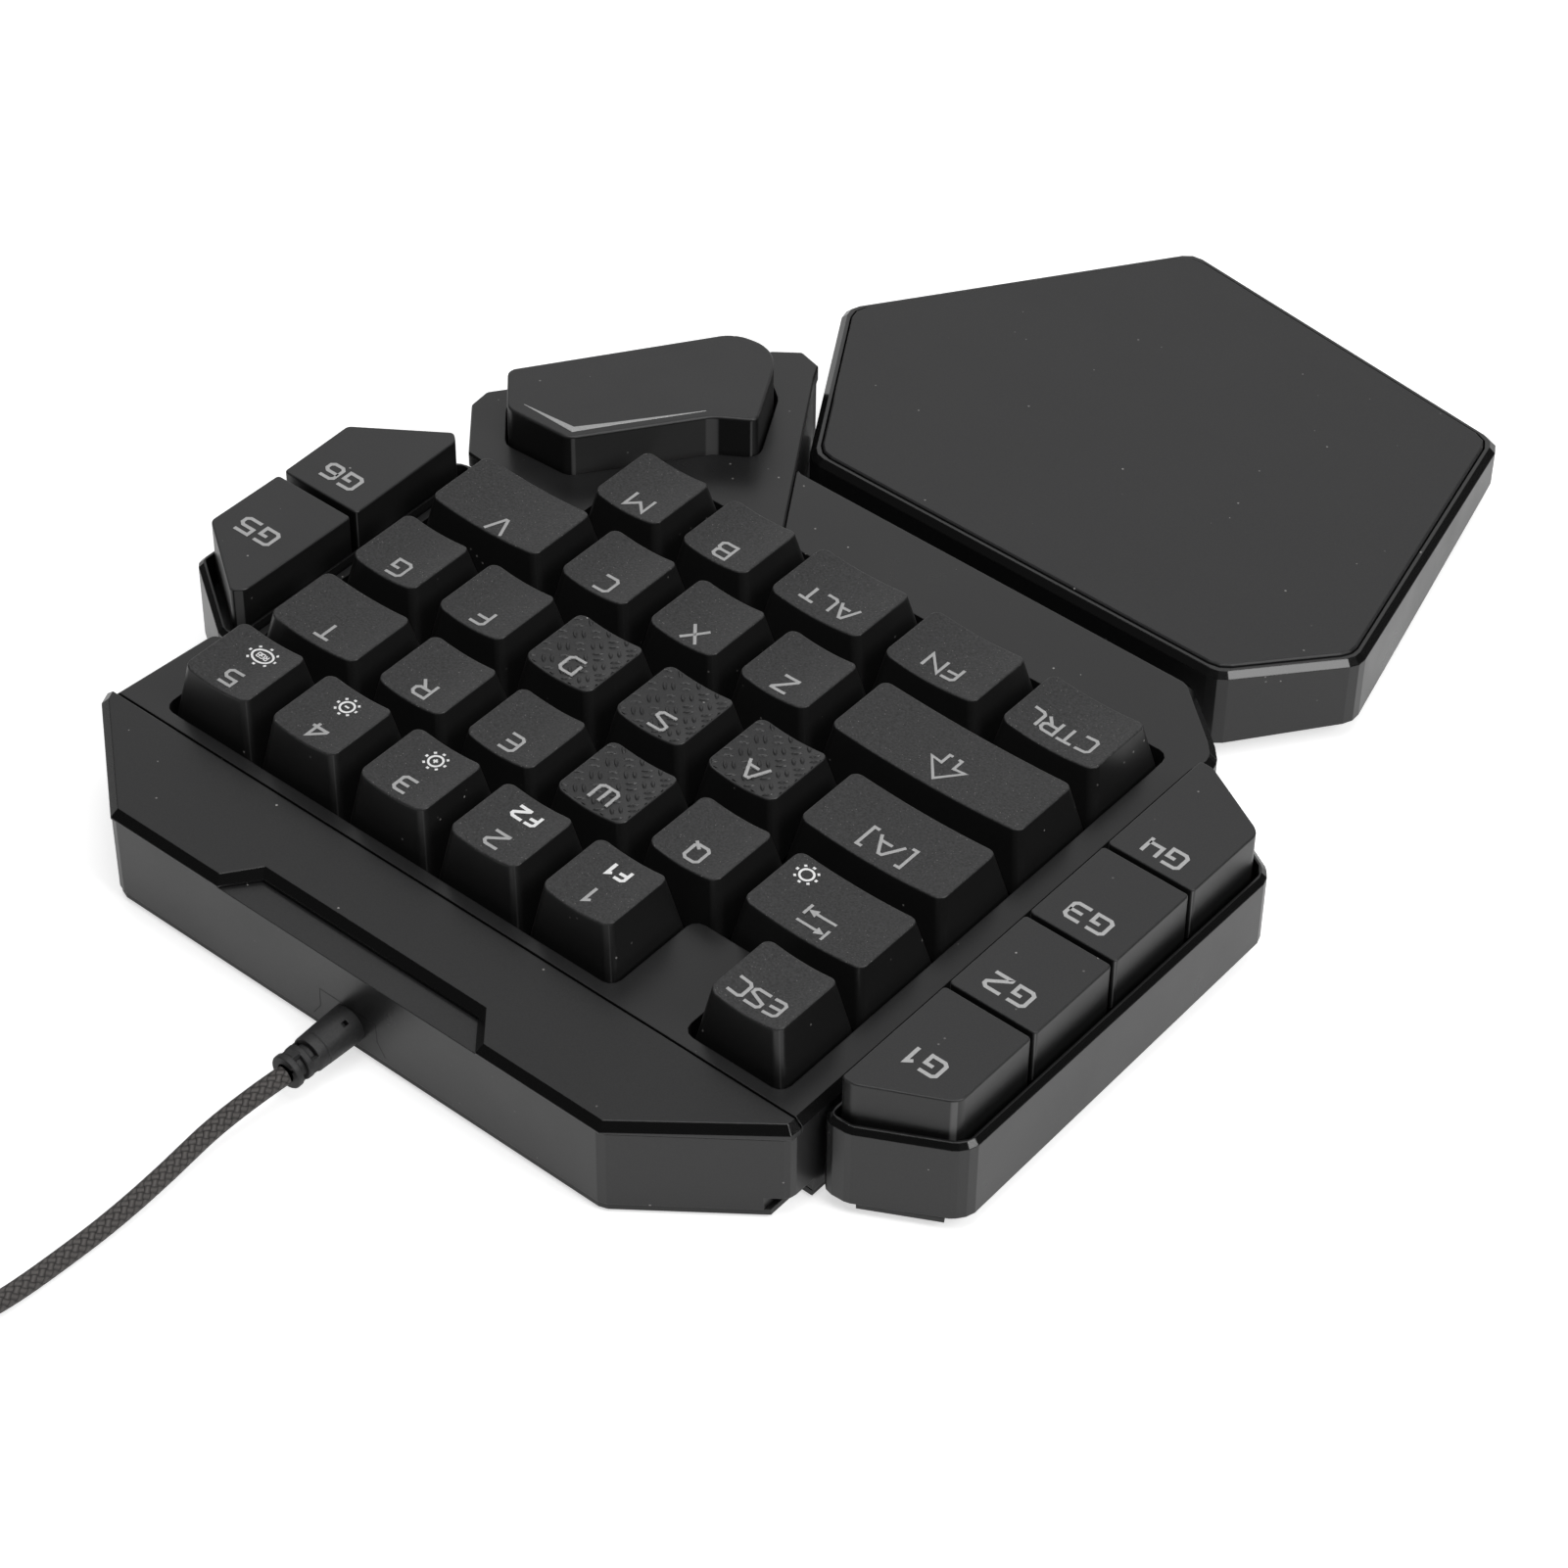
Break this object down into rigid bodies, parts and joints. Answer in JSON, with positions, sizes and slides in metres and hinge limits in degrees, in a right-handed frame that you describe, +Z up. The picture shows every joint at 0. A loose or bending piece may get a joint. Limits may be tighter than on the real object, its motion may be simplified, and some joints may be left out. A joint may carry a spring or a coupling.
{
  "type": "gaming keypad",
  "caption": "One-handed gaming keypad with low-profile letter keys, macro keys on both sides, a thumb key, a sloping palm rest and a braided cord.",
  "frame": {"origin": "middle of the keypad's plan extent at table level, without the cord", "axes": "+X to the user's right, +Y away from the user towards the cable, +Z up"},
  "size_m": [0.1792, 0.4526, 0.0291],
  "materials": {
    "housing_plastic": "satin black",
    "cap_plastic": "fine-grained matte black",
    "palm_pad": "soft matte black",
    "inner_plastic": "matte black",
    "rubber": "matte black",
    "mat_rubber": "translucent grey",
    "membrane_film": "clear film",
    "plate_steel": "plated",
    "board": "solder mask",
    "braid": "braided",
    "plug_metal": "plated"
  },
  "bodies": {
    "housing": {"top_cover": "housing_plastic", "rear_panel": "housing_plastic", "thumb_bezel": "housing_plastic", "left_macro_tray": "housing_plastic", "right_macro_tray": "housing_plastic", "base_plate": "housing_plastic", "support_plate": "plate_steel", "contact_membrane": "membrane_film", "dome_mat": "mat_rubber", "controller_board": "board", "palm_rest_body": "housing_plastic", "palm_rest_pad": "palm_pad", "palm_rest_base": "inner_plastic", "palm_rest_bridge": "inner_plastic", "foot_rear_left": "rubber", "foot_rear_right": "rubber", "foot_thumb": "rubber", "foot_palm_left": "rubber", "foot_palm_right": "rubber", "cable_boot": "rubber", "cord_run": "braid", "cord_coil": "braid", "cord_tie": "rubber", "plug_body": "rubber", "plug_shell": "plug_metal"},
    "key_esc": {"key_esc": "cap_plastic"},
    "key_1": {"key_1": "cap_plastic"},
    "key_2": {"key_2": "cap_plastic"},
    "key_3": {"key_3": "cap_plastic"},
    "key_4": {"key_4": "cap_plastic"},
    "key_5": {"key_5": "cap_plastic"},
    "key_tab": {"key_tab": "cap_plastic"},
    "key_q": {"key_q": "cap_plastic"},
    "key_w": {"key_w": "cap_plastic"},
    "key_e": {"key_e": "cap_plastic"},
    "key_r": {"key_r": "cap_plastic"},
    "key_t": {"key_t": "cap_plastic"},
    "key_caps": {"key_caps": "cap_plastic"},
    "key_a": {"key_a": "cap_plastic"},
    "key_s": {"key_s": "cap_plastic"},
    "key_d": {"key_d": "cap_plastic"},
    "key_f": {"key_f": "cap_plastic"},
    "key_g": {"key_g": "cap_plastic"},
    "key_shift": {"key_shift": "cap_plastic"},
    "key_z": {"key_z": "cap_plastic"},
    "key_x": {"key_x": "cap_plastic"},
    "key_c": {"key_c": "cap_plastic"},
    "key_v": {"key_v": "cap_plastic"},
    "key_ctrl": {"key_ctrl": "cap_plastic"},
    "key_fn": {"key_fn": "cap_plastic"},
    "key_alt": {"key_alt": "cap_plastic"},
    "key_b": {"key_b": "cap_plastic"},
    "key_m": {"key_m": "cap_plastic"},
    "macro_g1": {"macro_g1": "cap_plastic"},
    "macro_g2": {"macro_g2": "cap_plastic"},
    "macro_g3": {"macro_g3": "cap_plastic"},
    "macro_g4": {"macro_g4": "cap_plastic"},
    "macro_g5": {"macro_g5": "cap_plastic"},
    "macro_g6": {"macro_g6": "cap_plastic"},
    "thumb_key": {"thumb_key": "cap_plastic"}
  },
  "joints": [
    {"name": "key_esc_press", "type": "slide", "parent": "housing", "child": "key_esc", "axis": [0, 0, -1], "range_m": [0, 0.0035], "stiffness_N_per_m": 80, "springref_m": -0.004, "deforming": ["dome_mat"]},
    {"name": "key_1_press", "type": "slide", "parent": "housing", "child": "key_1", "axis": [0, 0, -1], "range_m": [0, 0.0035], "stiffness_N_per_m": 80, "springref_m": -0.004, "deforming": ["dome_mat"]},
    {"name": "key_2_press", "type": "slide", "parent": "housing", "child": "key_2", "axis": [0, 0, -1], "range_m": [0, 0.0035], "stiffness_N_per_m": 80, "springref_m": -0.004, "deforming": ["dome_mat"]},
    {"name": "key_3_press", "type": "slide", "parent": "housing", "child": "key_3", "axis": [0, 0, -1], "range_m": [0, 0.0035], "stiffness_N_per_m": 80, "springref_m": -0.004, "deforming": ["dome_mat"]},
    {"name": "key_4_press", "type": "slide", "parent": "housing", "child": "key_4", "axis": [0, 0, -1], "range_m": [0, 0.0035], "stiffness_N_per_m": 80, "springref_m": -0.004, "deforming": ["dome_mat"]},
    {"name": "key_5_press", "type": "slide", "parent": "housing", "child": "key_5", "axis": [0, 0, -1], "range_m": [0, 0.0035], "stiffness_N_per_m": 80, "springref_m": -0.004, "deforming": ["dome_mat"]},
    {"name": "key_tab_press", "type": "slide", "parent": "housing", "child": "key_tab", "axis": [0, 0, -1], "range_m": [0, 0.0035], "stiffness_N_per_m": 80, "springref_m": -0.004, "deforming": ["dome_mat"]},
    {"name": "key_q_press", "type": "slide", "parent": "housing", "child": "key_q", "axis": [0, 0, -1], "range_m": [0, 0.0035], "stiffness_N_per_m": 80, "springref_m": -0.004, "deforming": ["dome_mat"]},
    {"name": "key_w_press", "type": "slide", "parent": "housing", "child": "key_w", "axis": [0, 0, -1], "range_m": [0, 0.0035], "stiffness_N_per_m": 80, "springref_m": -0.004, "deforming": ["dome_mat"]},
    {"name": "key_e_press", "type": "slide", "parent": "housing", "child": "key_e", "axis": [0, 0, -1], "range_m": [0, 0.0035], "stiffness_N_per_m": 80, "springref_m": -0.004, "deforming": ["dome_mat"]},
    {"name": "key_r_press", "type": "slide", "parent": "housing", "child": "key_r", "axis": [0, 0, -1], "range_m": [0, 0.0035], "stiffness_N_per_m": 80, "springref_m": -0.004, "deforming": ["dome_mat"]},
    {"name": "key_t_press", "type": "slide", "parent": "housing", "child": "key_t", "axis": [0, 0, -1], "range_m": [0, 0.0035], "stiffness_N_per_m": 80, "springref_m": -0.004, "deforming": ["dome_mat"]},
    {"name": "key_caps_press", "type": "slide", "parent": "housing", "child": "key_caps", "axis": [0, 0, -1], "range_m": [0, 0.0035], "stiffness_N_per_m": 80, "springref_m": -0.004, "deforming": ["dome_mat"]},
    {"name": "key_a_press", "type": "slide", "parent": "housing", "child": "key_a", "axis": [0, 0, -1], "range_m": [0, 0.0035], "stiffness_N_per_m": 80, "springref_m": -0.004, "deforming": ["dome_mat"]},
    {"name": "key_s_press", "type": "slide", "parent": "housing", "child": "key_s", "axis": [0, 0, -1], "range_m": [0, 0.0035], "stiffness_N_per_m": 80, "springref_m": -0.004, "deforming": ["dome_mat"]},
    {"name": "key_d_press", "type": "slide", "parent": "housing", "child": "key_d", "axis": [0, 0, -1], "range_m": [0, 0.0035], "stiffness_N_per_m": 80, "springref_m": -0.004, "deforming": ["dome_mat"]},
    {"name": "key_f_press", "type": "slide", "parent": "housing", "child": "key_f", "axis": [0, 0, -1], "range_m": [0, 0.0035], "stiffness_N_per_m": 80, "springref_m": -0.004, "deforming": ["dome_mat"]},
    {"name": "key_g_press", "type": "slide", "parent": "housing", "child": "key_g", "axis": [0, 0, -1], "range_m": [0, 0.0035], "stiffness_N_per_m": 80, "springref_m": -0.004, "deforming": ["dome_mat"]},
    {"name": "key_shift_press", "type": "slide", "parent": "housing", "child": "key_shift", "axis": [0, 0, -1], "range_m": [0, 0.0035], "stiffness_N_per_m": 80, "springref_m": -0.004, "deforming": ["dome_mat"]},
    {"name": "key_z_press", "type": "slide", "parent": "housing", "child": "key_z", "axis": [0, 0, -1], "range_m": [0, 0.0035], "stiffness_N_per_m": 80, "springref_m": -0.004, "deforming": ["dome_mat"]},
    {"name": "key_x_press", "type": "slide", "parent": "housing", "child": "key_x", "axis": [0, 0, -1], "range_m": [0, 0.0035], "stiffness_N_per_m": 80, "springref_m": -0.004, "deforming": ["dome_mat"]},
    {"name": "key_c_press", "type": "slide", "parent": "housing", "child": "key_c", "axis": [0, 0, -1], "range_m": [0, 0.0035], "stiffness_N_per_m": 80, "springref_m": -0.004, "deforming": ["dome_mat"]},
    {"name": "key_v_press", "type": "slide", "parent": "housing", "child": "key_v", "axis": [0, 0, -1], "range_m": [0, 0.0035], "stiffness_N_per_m": 80, "springref_m": -0.004, "deforming": ["dome_mat"]},
    {"name": "key_ctrl_press", "type": "slide", "parent": "housing", "child": "key_ctrl", "axis": [0, 0, -1], "range_m": [0, 0.0035], "stiffness_N_per_m": 80, "springref_m": -0.004, "deforming": ["dome_mat"]},
    {"name": "key_fn_press", "type": "slide", "parent": "housing", "child": "key_fn", "axis": [0, 0, -1], "range_m": [0, 0.0035], "stiffness_N_per_m": 80, "springref_m": -0.004, "deforming": ["dome_mat"]},
    {"name": "key_alt_press", "type": "slide", "parent": "housing", "child": "key_alt", "axis": [0, 0, -1], "range_m": [0, 0.0035], "stiffness_N_per_m": 80, "springref_m": -0.004, "deforming": ["dome_mat"]},
    {"name": "key_b_press", "type": "slide", "parent": "housing", "child": "key_b", "axis": [0, 0, -1], "range_m": [0, 0.0035], "stiffness_N_per_m": 80, "springref_m": -0.004, "deforming": ["dome_mat"]},
    {"name": "key_m_press", "type": "slide", "parent": "housing", "child": "key_m", "axis": [0, 0, -1], "range_m": [0, 0.0035], "stiffness_N_per_m": 80, "springref_m": -0.004, "deforming": ["dome_mat"]},
    {"name": "macro_g1_press", "type": "slide", "parent": "housing", "child": "macro_g1", "axis": [0, 0, -1], "range_m": [0, 0.0035], "stiffness_N_per_m": 80, "springref_m": -0.004, "deforming": ["dome_mat"]},
    {"name": "macro_g2_press", "type": "slide", "parent": "housing", "child": "macro_g2", "axis": [0, 0, -1], "range_m": [0, 0.0035], "stiffness_N_per_m": 80, "springref_m": -0.004, "deforming": ["dome_mat"]},
    {"name": "macro_g3_press", "type": "slide", "parent": "housing", "child": "macro_g3", "axis": [0, 0, -1], "range_m": [0, 0.0035], "stiffness_N_per_m": 80, "springref_m": -0.004, "deforming": ["dome_mat"]},
    {"name": "macro_g4_press", "type": "slide", "parent": "housing", "child": "macro_g4", "axis": [0, 0, -1], "range_m": [0, 0.0035], "stiffness_N_per_m": 80, "springref_m": -0.004, "deforming": ["dome_mat"]},
    {"name": "macro_g5_press", "type": "slide", "parent": "housing", "child": "macro_g5", "axis": [0, 0, -1], "range_m": [0, 0.0035], "stiffness_N_per_m": 80, "springref_m": -0.004, "deforming": ["dome_mat"]},
    {"name": "macro_g6_press", "type": "slide", "parent": "housing", "child": "macro_g6", "axis": [0, 0, -1], "range_m": [0, 0.0035], "stiffness_N_per_m": 80, "springref_m": -0.004, "deforming": ["dome_mat"]},
    {"name": "thumb_key_press", "type": "slide", "parent": "housing", "child": "thumb_key", "axis": [0, 0, -1], "range_m": [0, 0.0035], "stiffness_N_per_m": 80, "springref_m": -0.004, "deforming": ["dome_mat"]}
  ]
}
